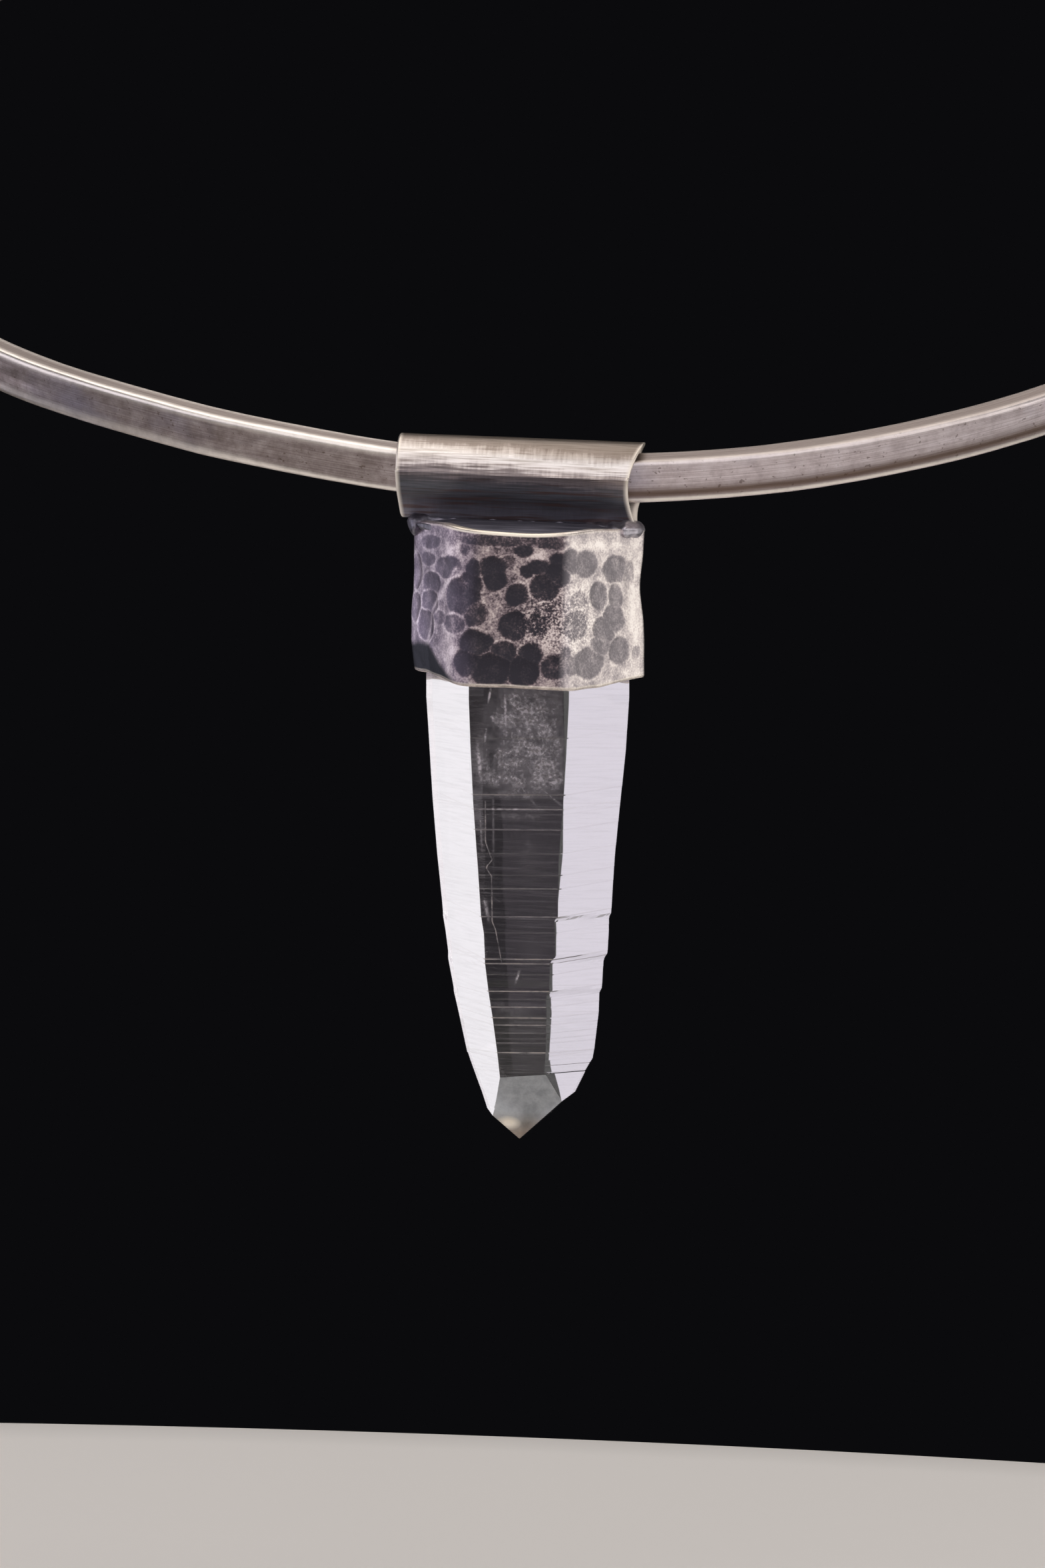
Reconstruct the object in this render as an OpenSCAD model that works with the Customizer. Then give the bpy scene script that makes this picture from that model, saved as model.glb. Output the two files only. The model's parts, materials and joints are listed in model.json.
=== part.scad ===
// Quartz point pendant on an open neck ring. All sizes are in millimetres.
// The origin is the centre of the ring as it is worn: +Z is up and -Y is the wearer's front.

/* [Neck ring] */
// Radius of the ring, to the middle of the wire
ring_r = 67.5; // [62:0.5:74]
// Height of the rectangular wire
wire_h = 4.1; // [3:0.1:4.1]
// Thickness of the rectangular wire
wire_t = 2.2; // [1.6:0.1:2.3]
// Rounding of the wire's edges
wire_edge = 0.45; // [0.2:0.05:0.75]
// Opening between the two rounded ends at the back
ring_gap = 40; // [24:1:60]
// Slope of the worn ring, down towards the front
ring_tilt = 23.9; // [16:0.1:30]

/* [Bail] */
// Length of the bail at its middle
bail_len = 20.9; // [17:0.1:22]
// Radius of the bore that the wire runs through
bore_r = 2.55; // [2.55:0.05:2.8]
// Thickness of the bail's sheet
bail_wall = 0.6; // [0.5:0.05:0.7]
// Depth of the pinched lower edge below the bore's axis
seam_drop = 4.25; // [4.15:0.05:4.5]

/* [Cap] */
// Thickness of the hammered sheet
cap_wall = 1.1; // [0.9:0.05:1.3]
// Gap round the stone, which the cement fills
cap_gap = 0.2; // [0.15:0.05:0.3]
// Rounding of the upright corners
cap_corner = 0.6; // [0.3:0.1:1]
// Depth of the rim below the bore's axis
rim_drop = 5.1; // [5:0.1:5.4]
// Depth of the lower edge at the front
hem_drop = 18.6; // [16.5:0.1:19]
// Radius of the hammer's face, which sets how wide the dimples are
hammer_r = 6; // [4:0.5:9]

/* [Crystal] */
// Width of the front face at the root
front_w = 8.4; // [7.5:0.1:9.5]
// Width of the left face at the root
left_w = 9.7; // [8.5:0.1:10.5]
// Width of the right face at the root
right_w = 9.6; // [8.5:0.1:10.5]
// Turn of the stone about its length, front face towards the left
stone_turn = 3; // [0:0.5:8]
// Lean of the cap and the stone, tip towards the right
stone_lean = 2.1; // [0:0.1:3]

/* [Hidden] */
$fn = 64;

// Half of the angle that the opening takes up, to a hundredth of a degree
gap_angle = round(100 * asin(ring_gap / 2 / ring_r)) / 100;
// Distance from the middle of the wire to the straight bore: half of the curve's height over the bail
sag = bail_len * bail_len / (16 * ring_r);
// Distance from the faces of the stone to the outside of the cap
cap_out = cap_wall + cap_gap;
// Depth of the stone's root, and of the space that it sits in
root_drop = rim_drop + 1.4;
cavity_drop = rim_drop + 1.2;
// Depth of the roof's ridge, which the bail's lower edge stands on
ridge_drop = seam_drop - 0.1;
// Slope and depth of the line along which the lower left corner is folded in, and the angle of the fold
fold_turn = -33;
fold_depth = 16.3;
fold_angle = 6;

// The stone from its root to its tip: [depth, front face, left face, right face, shift to the right],
// with the widths and the shift given as changes from the root
taper = [
    [root_drop, 0, 0, 0, 0],
    [19.7, 0, 0, 0, 0],
    [24.3, -0.1, -0.3, -0.6, 0],
    [28.6, -0.4, -0.45, -1.2, -0.1],
    [33.9, -1.2, -0.6, -1.4, -0.15],
    [37.6, -1.5, -0.95, -1.7, -0.1],
    [40.3, -2.1, -0.9, -1.7, -0.1],
    [43.9, -2.9, -1.5, -1.7, -0.1],
    [47.6, -3.6, -2.0, -1.95, 0],
    [50.9, -4.1, -2.7, -2.5, 0.15],
    [60, -5.8, -5.1, -4.2, 0.3]
];

// The faces of the natural point: [bearing of the face, slope of its normal below level, depth on the axis]
tip_faces = [
    [-87.5, 38.8, 59.7],
    [24.5, 37.6, 58.1],
    [148.5, 37.6, 61.8],
    [87, 40.3, 60.5],
    [-2, 50, 58.4],
    [206, 47, 58.8],
    [-60, 57, 58.3]
];

// Hammer marks: [side of the cap, distance from its middle, depth, radius of the mark].
// Side 0 is the front, 1 the right and 5 the left; the far sides repeat them.
marks = [
    [0, -2.1, 8.5, 1.5],
    [0, -4.3, 9.5, 1.6],
    [0, 0.3, 10.2, 1.1],
    [0, 3.2, 8.7, 1.8],
    [0, 1.4, 7.2, 1.0],
    [0, -3.5, 12.5, 1.5],
    [0, -0.2, 13.1, 1.4],
    [0, 3.1, 12.6, 1.2],
    [0, -3.2, 15.5, 1.7],
    [0, -0.7, 15.9, 1.3],
    [0, 2.0, 16.5, 1.5],
    [1, -3.6, 7.3, 1.4],
    [1, 1.1, 8.2, 1.5],
    [1, -1.4, 10.4, 1.3],
    [1, 1.5, 11.4, 1.3],
    [1, -4.4, 13.0, 1.1],
    [1, -0.8, 13.3, 1.3],
    [1, 1.4, 15.4, 1.3],
    [1, -2.9, 16.4, 1.3],
    [1, 4.0, 16.0, 1.0],
    [5, 2.5, 7.8, 1.2],
    [5, -1.6, 7.2, 1.1],
    [5, -1.9, 10.3, 1.3],
    [5, 1.3, 12.8, 1.1],
    [5, -2.1, 13.6, 1.2]
];

function dir(a) = [cos(a), sin(a)];

// Six-sided outline with opposite faces alike, centred, starting at the front-left corner
function hexagon(front, left, right) =
    let (
        side = [front, right, left, front, right, left],
        walk = [for (i = 0, p = [0, 0]; i < 6; p = p + side[i] * dir(60 * i), i = i + 1) p],
        middle = (walk[0] + walk[3]) / 2
    )
    [for (p = walk) p - middle];

// Growth of each side when the outline is moved outwards
function grown(out) = 2 * out * tan(30);

// The root's outline moved outwards
function root_outline(out) = hexagon(front_w + grown(out), left_w + grown(out), right_w + grown(out));

// The same outline with round corners
function soft_outline(out, r) =
    let (corner = root_outline(out))
    [for (i = [0:5], j = [0:4])
        corner[i] - r / cos(30) * dir(60 * i - 120) + r * dir(60 * i - 150 + 15 * j)];

// Section of the wire from its middle line to its outer face
function wire_half(r) = concat(
    [[0, -wire_h / 2]],
    [for (a = [-90:22.5:0]) [wire_t / 2 - r, r - wire_h / 2] + r * dir(a)],
    [for (a = [0:22.5:90]) [wire_t / 2 - r, wire_h / 2 - r] + r * dir(a)],
    [[0, wire_h / 2]]
);

module wire_section() {
    polygon(wire_half(wire_edge));
    mirror([1, 0]) polygon(wire_half(wire_edge));
}

module wire_end() rotate_extrude(angle = 180) polygon(wire_half(wire_edge));

// Open ring of flat wire, its opening at the back
module neck_ring() {
    color("silver")
    rotate([ring_tilt, 0, 0]) {
        rotate([0, 0, 90 + gap_angle])
        rotate_extrude(angle = 360 - 2 * gap_angle, $fn = 180)
        translate([ring_r, 0])
        wire_section();

        rotate([0, 0, 90 + gap_angle]) translate([ring_r, 0, 0]) rotate([0, 0, 180]) wire_end();
        rotate([0, 0, 90 - gap_angle]) translate([ring_r, 0, 0]) wire_end();
    }
}

// Moves its children from the origin to the middle of the bail's bore
module at_bore() {
    translate([0, (sag - ring_r) * cos(ring_tilt), (sag - ring_r) * sin(ring_tilt) - 0.05]) children();
}

// Leans and turns its children as the stone stands in the pendant
module as_stone() {
    translate([0.63, 0, 0]) rotate([0, -stone_lean, 0]) rotate([0, 0, -stone_turn]) children();
}

// Extrudes an outline drawn in Y and Z along X
module along_x(length) rotate([90, 0, 90]) linear_extrude(length, center = true) children();

// Sheet tube round the wire, pinched to an edge below, with its ends cut by hand
module bail() {
    outer_r = bore_r + bail_wall;
    difference() {
        union() {
            rotate([0, 90, 0]) cylinder(h = bail_len + 3, r = outer_r, center = true);
            along_x(bail_len + 3)
            polygon([[-2.45, -1.7], [2.45, -1.7], [0.5, -seam_drop], [-0.5, -seam_drop]]);
        }
        rotate([0, 90, 0]) cylinder(h = bail_len + 4, r = bore_r, center = true);
        along_x(bail_len + 4) polygon([[-1.9, -1.45], [1.9, -1.45], [0, -3.6]]);
        translate([bail_len / 2 - 0.05, 0, 0]) rotate([0, 1.5, -10]) translate([0, -10, -10]) cube([10, 20, 20]);
        translate([-bail_len / 2, 0, 0]) rotate([0, -6.5, -1]) translate([-10, -10, -10]) cube([10, 20, 20]);
    }
}

// Level strip along X, with its middle at x and its upper face at a depth of top
module strip(x, length, width, top, thick) {
    translate([x - length / 2, -width / 2, -top - thick]) cube([length, width, thick]);
}

// Low roof that closes the cap, highest along the bail and falling towards both of its ends
module roof() {
    hull() {
        as_stone() translate([0, 0, -rim_drop - 0.7]) linear_extrude(0.5) polygon(root_outline(cap_out - 0.35));
        strip(0.6, 12, 2.2, ridge_drop, 1);
        strip(0.4, 19.8, 2.2, ridge_drop + 0.45, 0.6);
    }
}

// Solder under the bail, run out into a lump at each end
module solder() {
    strip(0.05, 20.1, 1.5, seam_drop - 0.2, 0.9);
    translate([10.35, 0.1, -seam_drop - 0.3]) sphere(r = 0.9);
    translate([-9.2, -0.1, -seam_drop - 0.5]) sphere(r = 0.65);
}

// Sides of the cap, with a lower edge that rises to the left and to the right
module cap_sides() {
    intersection() {
        as_stone() translate([0, 0, -25]) linear_extrude(24) polygon(soft_outline(cap_out, cap_corner));
        rotate([90, 0, 0])
        linear_extrude(40, center = true)
        polygon([
            [-14, -rim_drop], [14, -rim_drop], [14, 1.7 - hem_drop], [11.3, 1.05 - hem_drop],
            [5.1, -hem_drop], [-4.5, -hem_drop], [-9.2, 1.1 - hem_drop], [-14, 2.2 - hem_drop]
        ]);
    }
}

// Places its children on a side of the cap, with +X pointing outwards
module on_side(side) {
    corner = root_outline(cap_out);
    middle = (corner[side] + corner[(side + 1) % 6]) / 2;
    translate([middle[0], middle[1], 0]) rotate([0, 0, 60 * side - 90]) children();
}

module hammer_marks() {
    for (turn = [0, 180], m = marks)
        rotate([0, 0, turn])
        on_side(m[0])
        translate([sqrt(hammer_r * hammer_r - m[3] * m[3]), m[1], -m[2]])
        sphere(r = hammer_r);
}

// The lower corner of the left side, where the sheet is folded in along a slanting line
module folded_corner() {
    on_side(5)
    translate([0, -0.2, -fold_depth])
    rotate([fold_turn, 0, 0])
    rotate([0, fold_angle, 0])
    translate([0, -9, -6])
    cube([3, 18, 6.5]);
}

// Hammered cap on the root of the stone, soldered to the bail
module cap_and_bail() {
    color("darkgray")
    at_bore() {
        bail();
        solder();
        difference() {
            union() {
                cap_sides();
                roof();
            }
            as_stone() {
                translate([0, 0, -30]) linear_extrude(30 - cavity_drop) polygon(root_outline(cap_gap));
                hammer_marks();
                folded_corner();
            }
        }
    }
}

// Six-sided stone from its root to beyond its tip
module tapered_prism() {
    rings = [for (t = taper) let (p = hexagon(front_w + t[1], left_w + t[2], right_w + t[3]))
        [for (q = p) [q[0] + t[4], q[1], -t[0]]]];
    last = 6 * (len(taper) - 1);
    polyhedron(
        points = [for (ring = rings, p = ring) p],
        faces = concat(
            [[5, 4, 3, 2, 1, 0], [for (i = [0:5]) last + i]],
            [for (k = [0:6:last - 6], i = [0:5]) [k + i, k + (i + 1) % 6, k + 6 + (i + 1) % 6]],
            [for (k = [0:6:last - 6], i = [0:5]) [k + i, k + 6 + (i + 1) % 6, k + 6 + i]]
        )
    );
}

// Natural quartz point, its tip down
module crystal() {
    color("ghostwhite")
    at_bore()
    as_stone()
    difference() {
        tapered_prism();
        for (f = tip_faces)
            translate([0, 0, -f[2]])
            rotate([0, f[1], f[0]])
            translate([0, -25, -30])
            cube([30, 50, 60]);
    }
}

neck_ring();
cap_and_bail();
crystal();
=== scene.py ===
"""Quartz point pendant on an open silver neck ring, dressed over its CAD frame, in metres."""
import functools
import json
import math

import bmesh
import bpy
import numpy as np
from mathutils import Matrix, Vector


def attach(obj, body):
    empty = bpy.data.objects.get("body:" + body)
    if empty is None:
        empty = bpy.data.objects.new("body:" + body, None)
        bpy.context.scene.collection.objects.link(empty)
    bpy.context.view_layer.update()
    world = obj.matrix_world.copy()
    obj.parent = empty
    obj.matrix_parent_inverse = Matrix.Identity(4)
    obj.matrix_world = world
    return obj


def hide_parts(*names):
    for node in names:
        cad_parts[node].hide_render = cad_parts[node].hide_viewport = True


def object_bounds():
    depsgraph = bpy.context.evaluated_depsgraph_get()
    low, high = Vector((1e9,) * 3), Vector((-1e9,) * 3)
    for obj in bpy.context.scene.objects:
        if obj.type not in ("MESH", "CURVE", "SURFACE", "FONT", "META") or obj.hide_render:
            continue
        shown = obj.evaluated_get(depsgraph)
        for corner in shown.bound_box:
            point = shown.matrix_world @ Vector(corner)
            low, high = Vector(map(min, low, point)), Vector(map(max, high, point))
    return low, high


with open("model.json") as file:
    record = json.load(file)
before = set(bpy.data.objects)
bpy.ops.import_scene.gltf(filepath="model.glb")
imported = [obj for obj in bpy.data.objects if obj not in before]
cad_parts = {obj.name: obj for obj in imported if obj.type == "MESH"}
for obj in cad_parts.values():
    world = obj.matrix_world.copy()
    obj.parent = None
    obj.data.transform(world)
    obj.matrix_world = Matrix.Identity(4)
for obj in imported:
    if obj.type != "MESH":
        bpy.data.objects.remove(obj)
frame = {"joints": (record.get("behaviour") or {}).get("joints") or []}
cad_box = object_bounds()

# The camera. The photograph is taken level with the pendant with a long lens, a little from its right,
# and hangs the pendant in the upper half of a tall frame.
MM = 0.001
PHOTO_H = 2352
PIXELS_PER_MM = 17
CAMERA_AWAY = 1700 * MM
AZIMUTH, ELEVATION, ROLL = (math.radians(a) for a in (4.0, 2.8, 2.12))
# The sensor's long side, in millimetres
LONG_SIDE = 36
bore_middle = np.array(frame["joints"][0]["pos_m"])
looked_at = Vector(bore_middle) + Vector((1.2, -0.3, -27.4)) * MM

camera = bpy.data.objects.new("camera", bpy.data.cameras.new("camera"))
bpy.context.scene.collection.objects.link(camera)
# Read from the right: the camera goes back along its line of sight, rolls, rises, and turns round the
# point it looks at
camera.matrix_world = (Matrix.Translation(looked_at) @ Matrix.Rotation(AZIMUTH, 4, "Z")
                       @ Matrix.Rotation(math.pi / 2 - ELEVATION, 4, "X") @ Matrix.Rotation(ROLL, 4, "Z")
                       @ Matrix.Translation((0, 0, CAMERA_AWAY)))
camera.data.sensor_width = LONG_SIDE
camera.data.lens = PIXELS_PER_MM * CAMERA_AWAY / MM * LONG_SIDE / PHOTO_H
camera.data.clip_start, camera.data.clip_end = 0.05, 10
bpy.context.scene.camera = camera

# The studio. A small round table in matt white laminate stands under the pendant, in a dark room. One large
# soft box lights the pendant from the front, one hangs over it, and one stands at each side.
FLOOR_DROP = 43 * MM
FLOOR_R = 0.2
# Rings of the table's top and of its rounded edge: share of its radius, drop in millimetres
FLOOR_RINGS = np.array([(0.02, 0), (0.5, 0), (0.9, 0), (0.985, 0), (1.0, 2), (1.0, 6)])


def linear(code):
    """Linear colour of an sRGB hex code: over its toe, ((c + 0.055) / 1.055) to the power of 2.4."""
    c = np.array([int(code[i:i + 2], 16) for i in (1, 3, 5)]) / 255
    c = np.where(c <= 0.04045, c / 12.92, ((c + 0.055) / 1.055) ** 2.4)
    return (*c, 1.0)


def feed(node, inputs):
    """Links a node's inputs to the sockets that feed them, or sets them to values. Inputs go by name, or
    in the node's own order, and a hex code stands for its colour."""
    for name, value in inputs.items() if isinstance(inputs, dict) else enumerate(inputs):
        if isinstance(value, bpy.types.NodeSocket):
            node.id_data.links.new(value, node.inputs[name])
        else:
            node.inputs[name].default_value = linear(value) if isinstance(value, str) else value


def add(tree, kind, inputs=(), out=0, stops=None, **settings):
    """Adds a shader node and returns one of its outputs, the first unless out names another. Settings are
    the node's own, and stops are the places and colours of a colour ramp."""
    node = tree.nodes.new("ShaderNode" + kind)
    for name, value in settings.items():
        setattr(node, name, value)
    feed(node, inputs)
    if stops:
        ramp = node.color_ramp.elements
        while len(ramp) < len(stops):
            ramp.new(0.5)
        for element, (place_on, colour) in zip(ramp, stops.items()):
            element.position = place_on
            element.color = linear(colour)
    return node.outputs[out]


def new_material(name, middle=(0, 0, 0)):
    """An empty material, the function that adds nodes to its tree, its Principled shader, and the place
    on a piece as seen from this middle."""
    made = bpy.data.materials.new(name)
    made.use_nodes = True
    node = functools.partial(add, made.node_tree)
    seen = node("Mapping", {"Vector": node("TexCoord", out="Object"), "Location": -Vector(middle)})
    return made, node, made.node_tree.nodes["Principled BSDF"], seen


def grid_mesh(name, points, round_rows=False, round_columns=False, flip=False, uv=None, fields=None,
              flat=False):
    """Mesh of an array of points, rows by columns: each cell of the array is one face. A round direction
    joins its last line to its first. uv holds the two coordinates of the array's lines, and fields named
    values that may be lines or columns."""
    rows, columns = points.shape[:2]
    i = np.arange(rows if round_rows else rows - 1)
    j = np.arange(columns if round_columns else columns - 1)
    i, j = np.meshgrid(i, j, indexing="ij")
    corners = [(i, j), (i, j + 1), (i + 1, j + 1), (i + 1, j)]
    if flip:
        corners.reverse()
    faces = np.stack([(a % rows) * columns + b % columns for a, b in corners], -1).reshape(-1, 4)
    mesh = bpy.data.meshes.new(name)
    mesh.vertices.add(rows * columns)
    mesh.loops.add(faces.size)
    mesh.polygons.add(len(faces))
    mesh.vertices.foreach_set("co", points.reshape(-1).astype(np.float32))
    mesh.loops.foreach_set("vertex_index", faces.reshape(-1).astype(np.int32))
    mesh.polygons.foreach_set("loop_start", np.arange(0, faces.size, 4, dtype=np.int32))
    mesh.update(calc_edges=True)
    mesh.polygons.foreach_set("use_smooth", np.full(len(faces), not flat))
    if uv is not None:
        both = np.stack([np.stack([uv[0][a], uv[1][b]], -1) for a, b in corners], 2)
        mesh.uv_layers.new(name="along").data.foreach_set("uv", both.reshape(-1).astype(np.float32))
    for field, values in (fields or {}).items():
        made = mesh.attributes.new(field, "FLOAT", "POINT")
        whole = np.broadcast_to(values, (rows, columns)).reshape(-1)
        made.data.foreach_set("value", whole.astype(np.float32))
    return mesh


def xyz(x, y, z):
    """Array of points from the arrays of their coordinates, which may be lines or columns."""
    return np.stack(np.broadcast_arrays(x, y, z), -1)


def place(name, mesh, material):
    """Puts a mesh into the scene as an object at the origin."""
    made = bpy.data.objects.new(name, mesh)
    bpy.context.scene.collection.objects.link(made)
    mesh.materials.append(material)
    return made


def soft_box(name, direction, away, size, radiance, colour, only=None):
    """Rectangular light at a direction and a distance from the point the camera looks at, turned to face
    it. Its power is its radiance times pi times its area. It lights nothing but the pieces in only, if
    that is given."""
    light = bpy.data.lights.new(name, "AREA")
    light.shape = "RECTANGLE"
    light.size, light.size_y = size
    light.energy = radiance * math.pi * size[0] * size[1]
    light.color = linear(colour)[:3]
    made = bpy.data.objects.new(name, light)
    bpy.context.scene.collection.objects.link(made)
    made.visible_camera = False
    made.location = looked_at + Vector(direction).normalized() * away
    made.rotation_euler = (made.location - looked_at).to_track_quat("Z", "Y").to_euler()
    if only:
        made.light_linking.receiver_collection = only
    return made


laminate, _, shader, _ = new_material("matt white laminate")
feed(shader, {"Base Color": "#dcdad6", "Roughness": 0.7})
turn = np.linspace(0, 2 * math.pi, 129)[:-1]
share, drop = FLOOR_RINGS.T[..., None]
floor_z = cad_box[0].z - FLOOR_DROP
floor_points = xyz(share * FLOOR_R * np.cos(turn), bore_middle[1] + share * FLOOR_R * np.sin(turn),
                   floor_z - drop * MM)
floor_mesh = grid_mesh("floor", floor_points, round_columns=True)
form = bmesh.new()
form.from_mesh(floor_mesh)
inner_edges = [e for e in form.edges if e.is_boundary and e.verts[0].co.z > floor_z - MM]
bmesh.ops.holes_fill(form, edges=inner_edges, sides=0)
bmesh.ops.recalc_face_normals(form, faces=form.faces)
form.to_mesh(floor_mesh)
form.free()
place("floor", floor_mesh, laminate)

world = bpy.data.worlds.new("dark room")
world.use_nodes = True
feed(world.node_tree.nodes["Background"], {"Color": "#0b0b0d"})
bpy.context.scene.world = world
bpy.context.scene.view_settings.view_transform = "Standard"

front_box = soft_box("front_box", (0.05, -1.0, 0.3), 1.3, (3.0, 2.1), 1.0, "#fffafb")
soft_box("top_box", (0.0, 0.1, 1.0), 0.75, (1.1, 1.1), 1.5, "#fff8f4")
right_box = soft_box("right_box", (1.0, 0.02, 0.05), 0.8, (1.4, 0.7), 1.1, "#fffbf7")
left_box = soft_box("left_box", (-1.0, 0.02, 0.1), 0.8, (1.4, 0.7), 1.0, "#f8f4ff")

# The neck ring. It is one length of rectangular silver wire, forged round by hand and filed soft at its
# edges, with its two ends filed round. It stays open at the back.
RING_R = 67.5 * MM
RING_TILT = math.radians(23.9)
RING_GAP_HALF = math.radians(17.24)
WIRE_H, WIRE_T = 4.1 * MM, 2.2 * MM
WIRE_EDGE = 0.45 * MM
RING_STEPS = 760
RING_FRONT = 1.5 * math.pi
# Points nearer to each other than this are one point
WELD = 0.002 * MM
# The ring isn't quite flat: distance along the wire from its front, height over its plane, in millimetres
WAVE = [(-194, 0), (-130, -0.6), (-80, -1.2), (-62, -1.15), (-32, 0.1), (-22, 0.15), (-8, -0.15),
        (10, -0.25), (20, -0.25), (40, -0.05), (70, 0.1), (130, 0), (194, 0)]
# Where the wire's section is rubbed bright and carries painted highlights, out from its middle and up,
# and the height of its dusky stripe
TOP_EDGE, LOW_EDGE, DUSK_UP = (0.88, 1.84), (1.05, -1.68), -1.05


def turned(points, angle, first, second):
    """Turns points by an angle, from their first axis towards their second. Of a and b along these, a
    becomes ca - sb and b becomes sa + cb, with the angle's cosine c and sine s."""
    c, s = math.cos(angle), math.sin(angle)
    a, b = points[..., first], points[..., second]
    moved = points.copy()
    moved[..., first], moved[..., second] = c * a - s * b, s * a + c * b
    return moved


def eased(x, stations):
    """Heights at x between stations of place and height, each step eased as 3t^2 - 2t^3."""
    places, heights = np.array(stations, float).T
    i = np.clip(np.searchsorted(places, x, side="right") - 1, 0, len(places) - 2)
    t = np.clip((x - places[i]) / (places[i + 1] - places[i]), 0, 1)
    return heights[i] + (heights[i + 1] - heights[i]) * t * t * (3 - 2 * t)


def cloud(u, v, wrap, seed):
    """Smooth noise from -1 to 1: random values on a square lattice of unit spacing, which repeats after
    wrap lines of u, blended between the lattice's points with 3t^2 - 2t^3."""
    lattice = np.random.default_rng(seed).uniform(-1, 1, (wrap, 64))
    i, j = np.floor(u).astype(int), np.floor(v).astype(int)
    s, t = u - i, v - j
    s, t = s * s * (3 - 2 * s), t * t * (3 - 2 * t)
    near = lattice[i % wrap, j % 64] * (1 - s) + lattice[(i + 1) % wrap, j % 64] * s
    far = lattice[i % wrap, (j + 1) % 64] * (1 - s) + lattice[(i + 1) % wrap, (j + 1) % 64] * s
    return near * (1 - t) + far * t


def wire_half():
    """The outer half of the wire's section, from its bottom middle to its top middle: across and up."""
    a = np.radians(np.linspace(-90, 90, 17))
    arc = np.stack([WIRE_T / 2 - WIRE_EDGE + WIRE_EDGE * np.cos(a), WIRE_EDGE * np.sin(a)], -1)
    lower = arc[:9] - [0, WIRE_H / 2 - WIRE_EDGE]
    upper = arc[8:] + [0, WIRE_H / 2 - WIRE_EDGE]
    face = np.linspace(lower[-1], upper[0], 20)[1:-1]
    bottom = np.linspace([0, -WIRE_H / 2], lower[0], 3)[:-1]
    top = np.linspace(upper[-1], [0, WIRE_H / 2], 3)[1:]
    return np.concatenate([bottom, lower, face, upper, top])


def weld(mesh, others=()):
    """Takes other meshes into a mesh, joins the points that meet, and turns all faces outwards."""
    form = bmesh.new()
    form.from_mesh(mesh)
    for other in others:
        form.from_mesh(other)
        bpy.data.meshes.remove(other)
    bmesh.ops.remove_doubles(form, verts=form.verts, dist=WELD)
    bmesh.ops.recalc_face_normals(form, faces=form.faces)
    form.to_mesh(mesh)
    form.free()


half = wire_half()
section = np.concatenate([half, half[-2:0:-1] * [-1, 1]])
way = np.linspace(math.pi / 2 + RING_GAP_HALF, 5 * math.pi / 2 - RING_GAP_HALF, RING_STEPS)
along = (way - RING_FRONT) * RING_R / MM
to_ends = np.clip((way[-1] - way[0]) / 2 - np.abs(way - RING_FRONT), 0, 0.1) / 0.1
across, up = section.T / MM
left = eased(along, [(-200, 1), (-14, 1), (-6, 0), (200, 0)])[:, None]
# Hammer waves of 5 mm and ripples of 1.4 mm, which fade out before the ends
beaten = 0.03 * cloud(along[:, None] / 5, up, 97, 1) + 0.015 * cloud(along[:, None] / 1.4, 2 * up, 331, 2)
ring_radius = RING_R + section[:, 0] + beaten * MM * to_ends[:, None] * np.sign(across)
lift = section[:, 1] + (eased(along, WAVE) * MM)[:, None]
ring_points = xyz(ring_radius * np.cos(way)[:, None], ring_radius * np.sin(way)[:, None], lift)
steps = np.linalg.norm(np.diff(section, axis=0, append=section[:1]), axis=1)
ring_uv = (along * MM, np.concatenate([[0], np.cumsum(steps)]))
# Where hands and cloth rub the wire bright, with a painted highlight on its upper edge, most of all on the
# left, and a painted reflection of the floor on its lower edge
top_off = (np.abs(across) - TOP_EDGE[0]) ** 2 + (up - TOP_EDGE[1]) ** 2
top_edge = np.exp(-top_off / (0.06 + 0.05 * left)) * (0.5 + 0.9 * left)
low_left = eased(along, [(-200, 1), (-40, 1), (-12, 0), (200, 0)])[:, None]
low_off = (np.abs(across) - LOW_EDGE[0]) ** 2 + (up - LOW_EDGE[1] - 0.23 * low_left) ** 2
low_edge = np.exp(-low_off / (0.025 + 0.15 * low_left)) * (1.3 - 0.75 * low_left)
dusk = np.exp(-((up - DUSK_UP) / 0.6) ** 2) * (np.abs(across) > 1) * (1 - left)
ring_fields = {"rubbed_and_highlit": np.clip(top_edge + low_edge, 0, 1), "dusk": dusk, "left": left,
               "pale": np.clip((up - 1.9) / 0.12, 0, 1)}
ring_mesh = grid_mesh("ring_wire", turned(ring_points, RING_TILT, 1, 2), round_columns=True, uv=ring_uv,
                      fields=ring_fields)

ends = []
for end, facing, mark in ((way[0], math.pi, along[0]), (way[-1], 0, along[-1])):
    turn = np.linspace(0, math.pi, 17)[:, None] + end + facing
    x = RING_R * math.cos(end) + half[:, 0] * np.cos(turn)
    y = RING_R * math.sin(end) + half[:, 0] * np.sin(turn)
    level = half[:, 1] + eased(mark, WAVE) * MM
    ends.append(grid_mesh("end", turned(xyz(x, y, level), RING_TILT, 1, 2),
                          uv=(np.full(len(turn), mark * MM), ring_uv[1][:len(half)])))
weld(ring_mesh, ends)

# Forged and filed silver, rubbed by wear. The file leaves fine lines along the wire. A thin tarnish stays
# on its broad faces, brown and mauve on the left and paler on the right, with dark specks. The edges are
# rubbed bright, with a painted highlight on the upper edge and a painted reflection on the lower one.
worn_silver, node, shader, place_in = new_material("filed silver with worn tarnish")
flat = node("UVMap", uv_map="along")
on_left, rubbed_and_highlit, pale, dusky = (
    node("Attribute", out="Fac", attribute_name=name) for name in ("left", "rubbed_and_highlit", "pale", "dusk"))
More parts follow.
